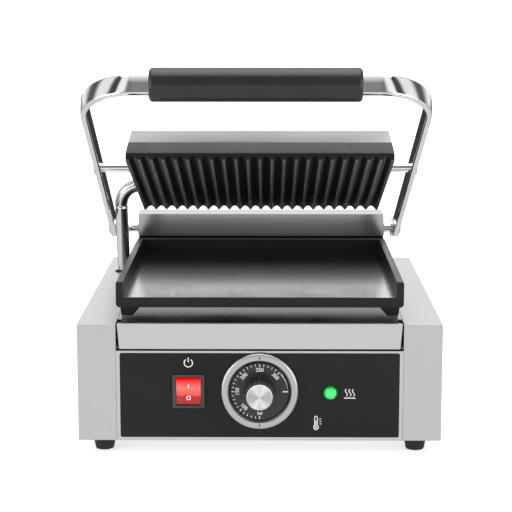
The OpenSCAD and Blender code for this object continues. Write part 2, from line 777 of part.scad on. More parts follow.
// Gland body in the rear panel, left open for a mains lead
module cable_gland() {
    color([0.1, 0.1, 0.1]) difference() {
        union() {
            bar_y(85, [back_t - 10, body_d + eps], 38, 7.9);
            translate([85, front_y + body_d + 6, 38]) rotate([90, 0, 0])
                cylinder(r = 11, h = 6, $fn = 6);
            translate([85, front_y + body_d + 6 - eps, 38]) rotate([-90, 0, 0])
                cylinder(r1 = 9, r2 = 7.5, h = gland_length - 6 + eps, $fn = 64);
        }
        bar_y(85, [back_t - 11, body_d + gland_length + 1], 38, 4.2);
    }
}

module gland_nut() {
    color([0.12, 0.12, 0.12]) difference() {
        translate([85, front_y + back_t, 38]) rotate([90, 0, 0]) cylinder(r = 11, h = 5, $fn = 6);
        bar_y(85, [back_t - 6, body_d], 38, 7.92);
    }
}

module rear_screws() {
    color("gray") for (x = [-106, 106], z = [20, 96])
        translate([x, front_y + body_d, z]) rotate([-90, 0, 0]) screw(4, 2.2, 1.95, 3.2);
}

left_side_panel();
right_side_panel();
base_pan();
front_panel();
control_fascia();
rear_panel();
deck();
plate_stand();
tray_housing();
drip_tray();
rubber_feet();
foot_screws();
lower_plate();
lower_heater();
lower_insulation();
lower_heater_pan();
thermostat_bulb();
hinge_housing();
hinge_brackets();
shaft_bushes();
counterbalance_springs();
housing_screws();
hinge_shaft();
handle_bail();
handle_grip();
pivot_rod();
bail_screws();
shaft_washers();
upper_plate();
upper_cover();
upper_heater();
upper_insulation();
pivot_brackets();
cover_screws();
conduit_gland();
conduit_lower();
conduit_upper();
conduit_grommet();
dial_bezel();
temperature_dial();
dial_cap();
thermostat();
thermostat_spindle();
switch_housing();
switch_rocker();
lamp_bezel();
signal_lamp();
terminal_block();
cable_gland();
gland_nut();
rear_screws();
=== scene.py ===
import json
import math

import bmesh
import bpy
from mathutils import Matrix, Vector


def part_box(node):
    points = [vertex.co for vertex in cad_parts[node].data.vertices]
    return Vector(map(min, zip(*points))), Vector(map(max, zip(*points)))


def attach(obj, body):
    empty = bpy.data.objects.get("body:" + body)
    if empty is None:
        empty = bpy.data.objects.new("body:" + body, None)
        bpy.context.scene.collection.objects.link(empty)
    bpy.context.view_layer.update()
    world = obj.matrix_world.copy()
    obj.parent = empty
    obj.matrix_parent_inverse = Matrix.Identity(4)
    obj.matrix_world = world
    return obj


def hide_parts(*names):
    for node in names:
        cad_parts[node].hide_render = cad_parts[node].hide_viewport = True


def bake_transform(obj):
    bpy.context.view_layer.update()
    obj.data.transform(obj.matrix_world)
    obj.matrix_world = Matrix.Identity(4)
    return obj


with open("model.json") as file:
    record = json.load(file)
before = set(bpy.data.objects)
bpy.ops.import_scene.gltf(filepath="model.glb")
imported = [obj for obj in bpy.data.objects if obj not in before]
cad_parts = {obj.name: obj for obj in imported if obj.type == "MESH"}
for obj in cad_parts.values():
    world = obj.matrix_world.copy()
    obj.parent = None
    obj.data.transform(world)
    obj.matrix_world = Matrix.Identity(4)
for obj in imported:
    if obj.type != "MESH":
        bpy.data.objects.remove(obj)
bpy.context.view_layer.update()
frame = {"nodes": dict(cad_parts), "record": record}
nodes = frame["nodes"]
scene = bpy.context.scene
MM = 0.001

# ---------------------------------------------------------------- camera

LENS_MM = 111.16
SENSOR_MM = 36
CAMERA_AT = (0.0063, -1.3705, 0.3781)
CAMERA_PITCH = math.radians(79.96)
CAMERA_TURN = math.radians(0.432)

camera = bpy.data.objects.new("camera", bpy.data.cameras.new("camera"))
camera.data.lens = LENS_MM
camera.data.sensor_width = SENSOR_MM
camera.location = CAMERA_AT
camera.rotation_euler = (CAMERA_PITCH, 0, CAMERA_TURN)
scene.collection.objects.link(camera)
scene.camera = camera
scene.view_settings.view_transform = "Standard"


# ---------------------------------------------------------------- material helpers

def new_material(name):
    """A material with an empty principled shader: returns it, its tree and the shader."""
    mat = bpy.data.materials.new(name)
    mat.use_nodes = True
    tree = mat.node_tree
    return mat, tree, tree.nodes["Principled BSDF"]


def add(tree, kind, **values):
    """A node, with its inputs (by name or number) and settings set."""
    node = tree.nodes.new(kind)
    for key, value in values.items():
        if hasattr(node, key):
            setattr(node, key, value)
        else:
            node.inputs[key].default_value = value
    return node


def noise(tree, scale, detail=3, distort=0.0, place=(0, 0, 0)):
    """Noise over the object, stretched by a scale for each axis in features per metre."""
    coord = add(tree, "ShaderNodeTexCoord")
    mapping = add(tree, "ShaderNodeMapping", Scale=scale, Location=place)
    tex = add(tree, "ShaderNodeTexNoise", Scale=1.0, Detail=detail, Roughness=0.6, Distortion=distort)
    tree.links.new(coord.outputs["Object"], mapping.inputs["Vector"])
    tree.links.new(mapping.outputs["Vector"], tex.inputs["Vector"])
    return tex.outputs["Fac"]


def ramp(tree, source, low, high, out_low=0.0, out_high=1.0):
    """source taken from low..high to out_low..out_high, clamped."""
    node = add(tree, "ShaderNodeMapRange")
    for key, value in (("From Min", low), ("From Max", high), ("To Min", out_low), ("To Max", out_high)):
        node.inputs[key].default_value = value
    tree.links.new(source, node.inputs["Value"])
    return node.outputs["Result"]


def math_node(tree, operation, a, b=0.0):
    """The result of a maths operation on two numbers or sockets."""
    node = add(tree, "ShaderNodeMath", operation=operation)
    for i, value in enumerate((a, b)):
        if isinstance(value, (int, float)):
            node.inputs[i].default_value = value
        else:
            tree.links.new(value, node.inputs[i])
    return node.outputs["Value"]


def mix_colours(tree, factor, first, second):
    """first where factor is 0 and second where it is 1, each an RGB tuple or a socket."""
    node = add(tree, "ShaderNodeMix", data_type="RGBA")
    tree.links.new(factor, node.inputs["Factor"])
    for socket, value in ((node.inputs[6], first), (node.inputs[7], second)):
        if isinstance(value, tuple):
            socket.default_value = (*value, 1)
        else:
            tree.links.new(value, socket)
    return node.outputs[2]


def colour_ramp(tree, source, stops):
    """The colour for a value from 0 to 1, from (place, colour) stops."""
    node = add(tree, "ShaderNodeValToRGB")
    elements = node.color_ramp.elements
    while len(elements) < len(stops):
        elements.new(0.5)
    for element, (place, colour) in zip(elements, stops):
        element.position = place
        element.color = (*colour, 1)
    tree.links.new(source, node.inputs["Fac"])
    return node.outputs["Color"]


def distance_along(tree, start, direction):
    """How far along a direction each point of the object lies, from a start point."""
    coord = add(tree, "ShaderNodeTexCoord")
    place = add(tree, "ShaderNodeVectorMath", operation="SUBTRACT")
    place.inputs[1].default_value = start
    along = add(tree, "ShaderNodeVectorMath", operation="DOT_PRODUCT")
    along.inputs[1].default_value = direction
    tree.links.new(coord.outputs["Object"], place.inputs[0])
    tree.links.new(place.outputs["Vector"], along.inputs[0])
    return along.outputs["Value"]


def distance_from_axis(tree, centre):
    """How far each point of the object lies from an axis along Y."""
    coord = add(tree, "ShaderNodeTexCoord")
    place = add(tree, "ShaderNodeVectorMath", operation="SUBTRACT")
    place.inputs[1].default_value = centre
    flat = add(tree, "ShaderNodeVectorMath", operation="MULTIPLY")
    flat.inputs[1].default_value = (1, 0, 1)
    length = add(tree, "ShaderNodeVectorMath", operation="LENGTH")
    tree.links.new(coord.outputs["Object"], place.inputs[0])
    tree.links.new(place.outputs["Vector"], flat.inputs[0])
    tree.links.new(flat.outputs["Vector"], length.inputs[0])
    return length.outputs["Value"]


def add_bump(tree, shader, height, strength, depth):
    """A bump over the shader's normal: strength from 0 to 1, depth in metres."""
    bumped = add(tree, "ShaderNodeBump", Strength=strength, Distance=depth)
    tree.links.new(height, bumped.inputs["Height"])
    tree.links.new(bumped.outputs["Normal"], shader.inputs["Normal"])
    return bumped


def finish(name, dark, light, rough, metallic=0.0, grain=(400, 400, 400), detail=4, bump=0.1,
           depth=0.0001, blotch=14.0, share=0.5, **sockets):
    """A finish whose colour and roughness vary with a fine grain and broad blotches. rough is its least
    and greatest roughness, grain and blotch are in features per metre, depth is the bump's in metres,
    and share is the grain's part of the variation."""
    mat, tree, shader = new_material(name)
    shader.inputs["Metallic"].default_value = metallic
    for key, value in sockets.items():
        shader.inputs[key.replace("_", " ")].default_value = value
    fine = noise(tree, grain, detail)
    broad = noise(tree, (blotch, blotch, blotch), 3, 0.4, (3.1, 1.7, 0.4))
    both = math_node(tree, "ADD", math_node(tree, "MULTIPLY", fine, share),
                     math_node(tree, "MULTIPLY", broad, 1 - share))
    tree.links.new(mix_colours(tree, ramp(tree, both, 0.35, 0.65), dark, light), shader.inputs["Base Color"])
    tree.links.new(ramp(tree, both, 0.35, 0.65, *rough), shader.inputs["Roughness"])
    add_bump(tree, shader, fine, bump, depth)
    return mat


def grey(v):
    return (v, v, v)


# ---------------------------------------------------------------- finishes

brushed_up = finish("brushed_steel_upright", grey(0.54), grey(0.585), (0.27, 0.34), 1.0, (1500, 1500, 16),
                    5, 0.07, 0.00005, 7, 0.5)
brushed_wide = finish("brushed_steel_crossways", grey(0.54), grey(0.59), (0.20, 0.27), 1.0, (12, 1500, 1500),
                      5, 0.07, 0.00005, 7, 0.5)
# The housing's steel is a darker copy of the other steel: painted shade and painted dark reflection of the
# plate it faces.
housing_steel = finish("polished_steel_housing", grey(0.36), grey(0.42), (0.10, 0.15), 1.0,
                       (12, 1500, 1500), 5, 0.05, 0.00004, 7, 0.5)
# The cover's steel is a lighter copy of the brushed steel: painted light.
cover_steel = finish("brushed_steel_cover", grey(0.74), grey(0.80), (0.26, 0.34), 1.0, (12, 1500, 1500),
                     5, 0.07, 0.00005, 7, 0.5)
# The stand's steel is a darker grey copy of the steel: painted shade under the plate.
stand_steel = finish("browned_steel_stand", grey(0.26), grey(0.34), (0.24, 0.36), 1.0, (14, 900, 900),
                     5, 0.10, 0.00006, 16, 0.4)
galvanised = finish("galvanised_sheet", grey(0.34), (0.52, 0.53, 0.54), (0.34, 0.55), 1.0, (90, 90, 90),
                    2, 0.12, 0.0001, 30, 0.7)
plated = finish("zinc_plated_steel", (0.50, 0.50, 0.49), (0.66, 0.66, 0.67), (0.22, 0.34), 1.0,
                (700, 700, 700), 3, 0.10, 0.00004, 25, 0.5)
chrome = finish("chrome_plate", grey(0.74), grey(0.80), (0.045, 0.085), 1.0, (260, 260, 260), 3, 0.02,
                0.00003, 12, 0.4)
black_face = finish("black_enamel_face", (0.011, 0.011, 0.0115), (0.016, 0.016, 0.0165), (0.42, 0.52), 0.0,
                    (1100, 1100, 1100), 3, 0.08, 0.00004, 10, 0.5, Specular_IOR_Level=0.14)
sheath = finish("heater_sheath", (0.10, 0.09, 0.08), (0.22, 0.20, 0.18), (0.45, 0.62), 0.8, (300, 300, 300),
                4, 0.2, 0.0001, 40)
fibre = finish("mineral_fibre", (0.52, 0.47, 0.38), (0.74, 0.69, 0.58), (0.85, 0.98), 0.0, (500, 500, 90),
               5, 0.6, 0.0006, 40)
copper = finish("copper_bulb", (0.55, 0.25, 0.14), (0.80, 0.42, 0.27), (0.24, 0.38), 1.0, (60, 700, 700),
                4, 0.1, 0.00006, 20)
spring = finish("oiled_spring_wire", (0.10, 0.10, 0.11), (0.24, 0.24, 0.26), (0.25, 0.40), 1.0,
                (300, 900, 900), 3, 0.1, 0.00005, 30)
rubber = finish("moulded_rubber", (0.008, 0.008, 0.008), (0.020, 0.020, 0.020), (0.55, 0.72), 0.0,
                (700, 700, 700), 4, 0.35, 0.00015, 30, Specular_IOR_Level=0.35)
sleeve = finish("handle_sleeve", (0.010, 0.010, 0.0105), (0.016, 0.016, 0.0165), (0.26, 0.34), 0.0,
                (1300, 1300, 1300), 3, 0.25, 0.00006, 22, 0.5, Specular_IOR_Level=0.45)
black_plastic = finish("black_plastic", (0.012, 0.012, 0.012), (0.022, 0.022, 0.022), (0.36, 0.48), 0.0,
                       (1000, 1000, 1000), 3, 0.15, 0.00005, 20, Specular_IOR_Level=0.4)
switch_frame = finish("switch_frame_plastic", (0.030, 0.028, 0.028), (0.050, 0.047, 0.047), (0.38, 0.5), 0.0,
                      (1000, 1000, 1000), 3, 0.15, 0.00005, 20, Specular_IOR_Level=0.4)
phenolic = finish("phenolic_dial", (0.010, 0.010, 0.011), (0.020, 0.020, 0.021), (0.24, 0.36), 0.0,
                  (1200, 1200, 1200), 3, 0.1, 0.00004, 24, Specular_IOR_Level=0.5)
ceramic = finish("glazed_ceramic", (0.68, 0.65, 0.56), (0.82, 0.80, 0.73), (0.22, 0.36), 0.0,
                 (500, 500, 500), 4, 0.12, 0.00008, 30)
brown_case = finish("thermostat_case", (0.30, 0.20, 0.12), (0.44, 0.31, 0.20), (0.38, 0.52), 0.0,
                    (500, 500, 500), 4, 0.2, 0.0001, 30)
white_print = finish("white_print", grey(0.66), grey(0.80), (0.45, 0.6), 0.0, (1500, 1500, 1500), 3, 0.1,
                     0.00003, 60)
dark_print = finish("dark_print", grey(0.05), grey(0.09), (0.45, 0.6), 0.0, (1500, 1500, 1500), 3, 0.1,
                    0.00003, 60)


# ---------------------------------------------------------------- cast iron

CAST_BUMP = 0.22
COOL_TINT = 1.03
SKIM = 0.6 * MM


def cast(name, height, levels, rough_levels, extra=None):
    """Seasoned cast iron whose colour and roughness follow a height over the part. height is
    (point, direction) in metres, levels are (height, grey) and rough_levels (height, roughness).
    extra links the colour and roughness to the shader in its own way."""
    mat, tree, shader = new_material(name)
    shader.inputs["Specular IOR Level"].default_value = 0.3
    fine = noise(tree, (900, 900, 900), 3)
    broad = noise(tree, (18, 18, 18), 4, 0.5)
    speckle = math_node(tree, "ADD", math_node(tree, "MULTIPLY", fine, 0.5),
                        math_node(tree, "MULTIPLY", broad, 0.5))
    low, high = levels[0][0], levels[-1][0]
    position = ramp(tree, distance_along(tree, *height), low, high)

    def stepped(pairs):
        return colour_ramp(tree, position, [((at - low) / (high - low), (value, value, value * COOL_TINT))
                                            for at, value in pairs])

    tint = mix_colours(tree, ramp(tree, speckle, 0.3, 0.7), grey(0.75), grey(1.25))
    colour = add(tree, "ShaderNodeMix", data_type="RGBA", blend_type="MULTIPLY")
    colour.inputs["Factor"].default_value = 1.0
    tree.links.new(stepped(levels), colour.inputs[6])
    tree.links.new(tint, colour.inputs[7])
    roughness = math_node(tree, "ADD", stepped(rough_levels), ramp(tree, speckle, 0.3, 0.7, -0.04, 0.04))
    bumped = add_bump(tree, shader, fine, CAST_BUMP, 0.0001)
    if extra:
        extra(tree, shader, colour.outputs[2], roughness, bumped)
    else:
        tree.links.new(colour.outputs[2], shader.inputs["Base Color"])
        tree.links.new(roughness, shader.inputs["Roughness"])
    return mat


# The ribbed plate, by height from the rod it hangs on: lighter crests, partly wear and partly a painted
# highlight, near-black grooves with painted shade, and a greyer rim
HEAD_TILT = math.radians(19.65)
rod_lo, rod_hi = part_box("pivot_rod")
rod_at = (0, (rod_lo.y + rod_hi.y) / 2, (rod_lo.z + rod_hi.z) / 2)
ribbed_iron = cast("ribbed_cast_iron", (rod_at, (0, math.sin(HEAD_TILT), math.cos(HEAD_TILT))),
                   [(-0.0198, 0.100), (-0.0189, 0.085), (-0.0185, 0.010), (-0.0176, 0.003), (-0.0135, 0.003),
                    (-0.0128, 0.085), (-0.0030, 0.100)],
                   [(-0.0198, 0.20), (-0.0189, 0.24), (-0.0185, 0.50), (-0.0135, 0.50),
                    (-0.0128, 0.40), (-0.0030, 0.40)])

plate_lo, plate_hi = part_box("lower_plate")
surface = next(m["pos_m"][2] for m in frame["record"]["mounts"] if m["name"] == "cooking_surface")


def machined_top(tree, shader, colour, roughness, bumped):
    """Above the surface's level the iron is as cast. The cooking surface itself is ground and polished, with
    painted shade that darkens it towards the back, where the head above shades it."""
    coord = add(tree, "ShaderNodeTexCoord")
    split = add(tree, "ShaderNodeSeparateXYZ")
    tree.links.new(coord.outputs["Object"], split.inputs["Vector"])
    geometry = add(tree, "ShaderNodeNewGeometry")
    facing = add(tree, "ShaderNodeSeparateXYZ")
    tree.links.new(geometry.outputs["True Normal"], facing.inputs["Vector"])
    up = math_node(tree, "GREATER_THAN", facing.outputs["Z"], 0.9)
    level = math_node(tree, "LESS_THAN", split.outputs["Z"], surface + SKIM)
    mask = math_node(tree, "MULTIPLY", up, level)
    lines = noise(tree, (500, 6, 6), 4, 0.2)
    stain = noise(tree, (22, 22, 22), 4, 0.8, (0.7, 0.2, 0))
    polished = mix_colours(tree, ramp(tree, stain, 0.3, 0.7), grey(0.60), grey(0.70))
    # Painted shade: the polished top turns near black towards the back, under the head, with a wavy edge.
    depth = math_node(tree, "ADD", split.outputs["Y"], ramp(tree, stain, 0.3, 0.7, -0.012, 0.012))
    polished_with_painted_shade = mix_colours(tree, ramp(tree, depth, plate_lo.y + 0.05, plate_hi.y - 0.08), polished, grey(0.09))
    gloss = math_node(tree, "ADD", ramp(tree, stain, 0.3, 0.7, 0.15, 0.21),
                      ramp(tree, lines, 0.3, 0.7, -0.01, 0.01))
    tree.links.new(mix_colours(tree, mask, colour, polished_with_painted_shade), shader.inputs["Base Color"])
    tree.links.new(math_node(tree, "MULTIPLY", mask, 0.9), shader.inputs["Metallic"])
    blend = add(tree, "ShaderNodeMix", data_type="FLOAT")
    tree.links.new(mask, blend.inputs["Factor"])
    tree.links.new(roughness, blend.inputs[2])
    tree.links.new(gloss, blend.inputs[3])
    tree.links.new(blend.outputs[0], shader.inputs["Roughness"])
    smoothing = math_node(tree, "MULTIPLY", mask, CAST_BUMP - 0.005)
    tree.links.new(math_node(tree, "SUBTRACT", CAST_BUMP, smoothing), bumped.inputs["Strength"])


flat_iron = cast("flat_cast_iron", ((0, 0, 0), (0, 0, 1)),
                 [(plate_lo.z, 0.006), (surface, 0.008), (plate_hi.z - SKIM, 0.010), (plate_hi.z, 0.030)],
                 [(plate_lo.z, 0.50), (surface, 0.45), (plate_hi.z - SKIM, 0.40), (plate_hi.z, 0.30)],
                 machined_top)

# ---------------------------------------------------------------- spun aluminium


def turned(name, node, dark, light, rough, pitch, bump, anisotropic):
    """Metal turned about a node's own Y axis, with fine rings and a grain that follows them."""
    lo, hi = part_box(node)
    mat, tree, shader = new_material(name)
    shader.inputs["Metallic"].default_value = 1.0
    shader.inputs["Anisotropic"].default_value = anisotropic
    radius = add(tree, "ShaderNodeCombineXYZ")
    from_axis = distance_from_axis(tree, (lo + hi) / 2)
    tree.links.new(math_node(tree, "MULTIPLY", from_axis, 1 / pitch), radius.inputs["X"])
    rings = add(tree, "ShaderNodeTexNoise", Scale=1.0, Detail=3.0)
    tree.links.new(radius.outputs["Vector"], rings.inputs["Vector"])
    broad = noise(tree, (120, 120, 120), 3)
    both = math_node(tree, "ADD", math_node(tree, "MULTIPLY", rings.outputs["Fac"], 0.6),
                     math_node(tree, "MULTIPLY", broad, 0.4))
    tree.links.new(mix_colours(tree, ramp(tree, both, 0.35, 0.65), dark, light), shader.inputs["Base Color"])
    tree.links.new(ramp(tree, both, 0.35, 0.65, *rough), shader.inputs["Roughness"])
    add_bump(tree, shader, rings.outputs["Fac"], bump, 0.00004)
    tangent = add(tree, "ShaderNodeTangent", direction_type="RADIAL", axis="Y")
    tree.links.new(tangent.outputs["Tangent"], shader.inputs["Tangent"])
    return mat


spun_cap = turned("spun_aluminium_cap", "dial_cap", grey(0.72), grey(0.82), (0.40, 0.48), 0.0003,
                  0.08, 0.92)
spun_ring = turned("spun_aluminium_ring", "dial_bezel", grey(0.49), grey(0.55), (0.30, 0.38), 0.0004,
                   0.10, 0.0)


# ---------------------------------------------------------------- lit plastic

def lit_plastic(name, place, stops, rough, strength, cloud_scale, sway, bump):
    """A lit, slightly cloudy plastic. place gives a socket from 0 to 1 over the part, stops are the
    (place, colour) of its glow, and sway is how far the clouds shift it."""
    mat, tree, shader = new_material(name)
    cloud = noise(tree, (cloud_scale, cloud_scale, cloud_scale), 3)
    shifted = math_node(tree, "ADD", place(tree),
                        math_node(tree, "MULTIPLY", math_node(tree, "SUBTRACT", cloud, 0.5), sway))
    colour = colour_ramp(tree, shifted, stops)
    tree.links.new(colour, shader.inputs["Base Color"])
    tree.links.new(colour, shader.inputs["Emission Color"])
    shader.inputs["Emission Strength"].default_value = strength
    tree.links.new(ramp(tree, cloud, 0.3, 0.7, *rough), shader.inputs["Roughness"])
    if bump:
        add_bump(tree, shader, cloud, bump, 0.00005)
    return mat


rocker_lo, rocker_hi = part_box("switch_rocker")
rocker_foot = ((rocker_lo.x + rocker_hi.x) / 2, (rocker_lo.y + rocker_hi.y) / 2, rocker_lo.z)
rocker_tall = rocker_hi.z - rocker_lo.z
red_glow = lit_plastic(
    "lit_red_rocker",
    lambda tree: distance_along(tree, rocker_foot, (0, 0, 1 / rocker_tall)),
    [(0.0, (0.28, 0.001, 0.001)), (0.30, (0.40, 0.004, 0.004)), (0.38, (0.72, 0.06, 0.055)),
     (0.62, (0.86, 0.13, 0.11)), (0.84, (0.62, 0.03, 0.03)), (0.90, (0.90, 0.008, 0.005))],
    (0.14, 0.24), 0.24, 260, 0.12, 0.08)

LENS_R = 4.9 * MM
lamp_lo, lamp_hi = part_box("signal_lamp")
lamp_mid = (lamp_lo + lamp_hi) / 2
green_glow = lit_plastic(
    "lit_green_lens",
    lambda tree: math_node(tree, "MULTIPLY", distance_from_axis(tree, lamp_mid), 1 / LENS_R),
    [(0.0, (0.16, 0.95, 0.30)), (0.35, (0.06, 0.80, 0.16)), (0.75, (0.01, 0.58, 0.08)),
     (1.0, (0.0, 0.30, 0.04))],
    (0.12, 0.22), 0.62, 500, 0.2, 0)
green_rim = finish("green_lamp_rim", (0.004, 0.030, 0.010), (0.008, 0.055, 0.018), (0.25, 0.38), 0.0,
                   (900, 900, 900), 3, 0.1, 0.00004, 60)

# ---------------------------------------------------------------- finishes and edges of the CAD nodes

FINISHES = {
    brushed_up: ["left_side_panel", "right_side_panel"],
    brushed_wide: ["drip_tray", "deck", "front_panel"],
    housing_steel: ["hinge_housing"],
    cover_steel: ["upper_cover"],
    stand_steel: ["plate_stand"],
    galvanised: ["base_pan", "rear_panel", "tray_housing", "lower_heater_pan"],
    plated: ["foot_screws", "hinge_brackets", "housing_screws", "shaft_bushes", "shaft_washers",
             "pivot_brackets", "cover_screws", "thermostat_spindle", "rear_screws"],
    chrome: ["hinge_shaft", "handle_bail", "pivot_rod", "bail_screws", "conduit_gland", "conduit_lower",
             "conduit_upper"],
    flat_iron: ["lower_plate"],
    ribbed_iron: ["upper_plate"],
    black_face: ["control_fascia"],
    sheath: ["lower_heater", "upper_heater"],
    fibre: ["lower_insulation", "upper_insulation"],
    copper: ["thermostat_bulb"],
    spring: ["counterbalance_springs"],
    rubber: ["rubber_feet", "conduit_grommet"],
    sleeve: ["handle_grip"],
    black_plastic: ["cable_gland", "gland_nut"],
    switch_frame: ["switch_housing"],
    phenolic: ["temperature_dial"],
    ceramic: ["terminal_block"],
    brown_case: ["thermostat"],
    spun_ring: ["dial_bezel"],
    spun_cap: ["dial_cap"],
    red_glow: ["switch_rocker"],
    green_glow: ["signal_lamp"],
    green_rim: ["lamp_bezel"],
}
for mat, names in FINISHES.items():
    for name in names:
        nodes[name].data.materials.clear()
        nodes[name].data.materials.append(mat)

# Rounded edges, in millimetres, on the folded, cast and moulded parts
ROUNDED = {"left_side_panel": 0.5, "right_side_panel": 0.5, "front_panel": 0.2, "drip_tray": 0.35,
           "deck": 0.3, "plate_stand": 0.35, "hinge_housing": 0.45, "upper_cover": 0.5, "lower_plate": 0.7,
           "upper_plate": 0.25, "control_fascia": 0.15, "switch_housing": 0.4, "switch_rocker": 0.35,
           "temperature_dial": 0.25, "dial_cap": 0.12, "dial_bezel": 0.2, "lamp_bezel": 0.2,
           "rear_panel": 0.2, "base_pan": 0.2, "pivot_brackets": 0.4, "hinge_brackets": 0.4,
           "terminal_block": 0.4, "conduit_gland": 0.3, "cable_gland": 0.4, "handle_grip": 0.3}
for name, width in ROUNDED.items():
    weld = nodes[name].modifiers.new("join", "WELD")
    weld.merge_threshold = 0.005 * MM
    flat = nodes[name].modifiers.new("flat", "DECIMATE")
    flat.decimate_type = "DISSOLVE"
    flat.angle_limit = math.radians(0.5)
    bevel = nodes[name].modifiers.new("round", "BEVEL")
    bevel.width = width * MM
    bevel.segments = 2
    bevel.limit_method = "ANGLE"
    bevel.angle_limit = math.radians(38)
    bevel.use_clamp_overlap = True
    nodes[name].modifiers.new("normals", "WEIGHTED_NORMAL").keep_sharp = False
    for face in nodes[name].data.polygons:
        face.use_smooth = True


# ---------------------------------------------------------------- mesh helpers

def make_piece(name, verts, faces, material, slot, smooth=True):
    """An object from vertices and faces, with its material. The slot argument is not used."""
    mesh = bpy.data.meshes.new(name)
    mesh.from_pydata([tuple(v) for v in verts], [], faces)
    mesh.materials.append(material)
    bm = bmesh.new()
    bm.from_mesh(mesh)
    bmesh.ops.recalc_face_normals(bm, faces=bm.faces)
    bm.to_mesh(mesh)
    bm.free()
    for face in mesh.polygons:
        face.use_smooth = smooth
    piece = bpy.data.objects.new(name, mesh)
    scene.collection.objects.link(piece)
    return piece


def loft(rings):
    """Vertices and faces of a closed skin over equal rings of points, each ring a closed loop."""
    verts = [p for ring in rings for p in ring]
    n = len(rings[0])
    faces = []
    for i in range(len(rings) - 1):
        for j in range(n):
            k = (j + 1) % n
            faces.append((i * n + j, i * n + k, (i + 1) * n + k, (i + 1) * n + j))
    faces.append(tuple(range(n)))
    faces.append(tuple(range(len(verts) - n, len(verts))))
    return verts, faces


def stamp(name, outlines, origin, right, up, height, body, material, slot):
    """Thin raised print: flat outlines in a plane through origin, facing right x up."""
    right, up, origin = Vector(right), Vector(up), Vector(origin)
    out = right.cross(up).normalized()
    verts, faces = [], []
    for outline in outlines:
        start, n = len(verts), len(outline)
        for lift in (0, height):
            verts += [origin + right * x + up * y + out * lift for x, y in outline]
        faces.append(tuple(range(start + n, start + 2 * n)))
        faces += [(start + i, start + (i + 1) % n, start + n + (i + 1) % n, start + n + i)
                  for i in range(n)]
    piece = make_piece(name, verts, faces, material, slot, smooth=False)
    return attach(piece, body)


def bar(x0, y0, x1, y1, width):
    """A straight stroke as an outline."""
    d = Vector((x1 - x0, y1 - y0)).normalized() * (width / 2)
    return [(x0 - d.y, y0 + d.x), (x0 + d.y, y0 - d.x), (x1 + d.y, y1 - d.x), (x1 - d.y, y1 + d.x)]


def band(cx, cy, r0, r1, a0, a1, steps=24, taper=1.0):
    """Part of a ring between two angles, whose width may taper towards the second."""
    def point(i, r):
        a = math.radians(a0 + (a1 - a0) * i / steps)
        return cx + r * math.cos(a), cy + r * math.sin(a)
    outer = [point(i, r1) for i in range(steps + 1)]
    inner = [point(i, r1 - (r1 - r0) * (1 + (taper - 1) * i / steps)) for i in range(steps, -1, -1)]
    return outer + inner


def ring_halves(cx, cy, r0, r1):
    """A whole ring, as two outlines."""
    return [band(cx, cy, r0, r1, 0, 180), band(cx, cy, r0, r1, 180, 360)]


# ---------------------------------------------------------------- handle

shaft_lo, shaft_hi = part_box("hinge_shaft")
grip_lo, grip_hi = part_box("handle_grip")
bail_lo, bail_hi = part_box("handle_bail")
hinge = Vector((0, (shaft_lo.y + shaft_hi.y) / 2, (shaft_lo.z + shaft_hi.z) / 2))
grip = Vector((0, (grip_lo.y + grip_hi.y) / 2, (grip_lo.z + grip_hi.z) / 2))
arm = (grip - hinge).normalized()
across = Vector((1, 0, 0)).cross(arm)
reach = (grip - hinge).length
BAR_T, BAR_W, BEND = 5.5 * MM, 17 * MM, 45 * MM
EDGE_R, CROWN = 1.5 * MM, 0.45 * MM
FOOT_STEPS, ARM_STEPS, BEND_STEPS, EDGE_STEPS, FACE_STEPS = 8, 9, 32, 5, 8


def half_bail(side, foot_x, corner_x):
    """Stations from one foot up its arm and round its bend: the bar's outer and inner points, as
    (across the press, up from the hinge), and half its width there."""
    bend_at = reach + BAR_T / 2 - BEND
    splay = math.atan(abs(corner_x - foot_x) / bend_at)
    centre = Vector((corner_x - side * BEND, bend_at))
    down = Vector((-side * math.sin(splay), -math.cos(splay)))
    inward = Vector((-side * math.cos(splay), math.sin(splay)))
    tangent = centre - inward * BEND
    run = tangent.y / math.cos(splay)
    foot = tangent + down * run
    stations = []
    for i in range(FOOT_STEPS + 1):
        a = math.pi / 2 * i / FOOT_STEPS
        p = foot + down * (BAR_W / 2 * math.cos(a))
        stations.append((p, p + inward * BAR_T, max(0.6 * MM, BAR_W / 2 * math.sin(a))))
    for i in range(1, ARM_STEPS):
        p = foot - down * (run * i / ARM_STEPS)
        stations.append((p, p + inward * BAR_T, BAR_W / 2))
    for i in range(BEND_STEPS + 1):
        a = -splay + (math.pi / 2 + splay) * i / BEND_STEPS
        d = Vector((side * math.cos(a), math.sin(a)))
        stations.append((centre + d * BEND, centre + d * (BEND - BAR_T), BAR_W / 2))
    return stations


def bar_section(half_width):
    """The flat bar's section with rounded edges and a crowned outer face, as points of
    (depth below the outer face, place across the width)."""
    r = min(EDGE_R, half_width * 0.9)
    points = []
    for deep, width, a0 in ((0, -1, 180), (1, -1, 270), (1, 1, 0), (0, 1, 90)):
        for k in range(EDGE_STEPS + 1):
            a = math.radians(a0 + 90 * k / EDGE_STEPS)
            points.append(((BAR_T - r if deep else r) + r * math.cos(a),
                           width * (half_width - r) + r * math.sin(a)))
    points += [(0.0, (half_width - r) * (1 - 2 * k / FACE_STEPS)) for k in range(1, FACE_STEPS)]
    return [(t + CROWN * (z / half_width) ** 2 * (1 - t / BAR_T), z) for t, z in points]


